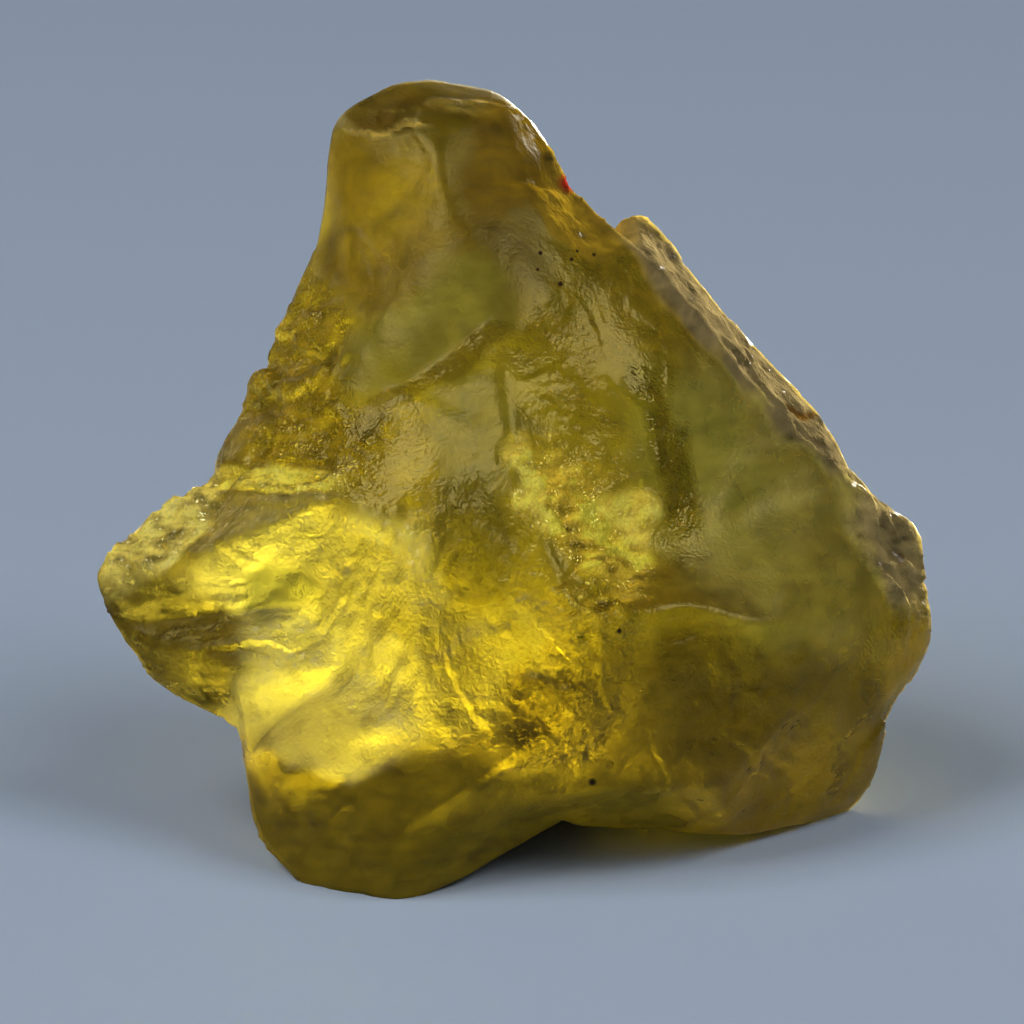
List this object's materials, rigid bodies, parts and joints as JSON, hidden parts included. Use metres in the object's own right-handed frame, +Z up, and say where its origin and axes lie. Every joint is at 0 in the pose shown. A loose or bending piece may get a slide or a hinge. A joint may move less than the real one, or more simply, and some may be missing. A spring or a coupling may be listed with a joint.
{
  "type": "rough topaz",
  "caption": "Rough, broken piece of clear golden-brown topaz: a knob on top, a pointed spur to the left, a smooth sloping face to the right, and flats to stand on.",
  "frame": {"origin": "on the surface the stone stands on, under the middle of its bounding box", "axes": "+Z up as the stone stands, +X to the right across its broken front, along its greatest width, and +Y from that front to its back, along its least depth"},
  "size_m": [0.03, 0.0176, 0.0258],
  "materials": {
    "topaz": "clear golden-brown crystal, glassy on its broken faces, frosted on its rind and in its scars"
  },
  "bodies": {
    "root": {"topaz": "topaz"}
  },
  "joints": []
}
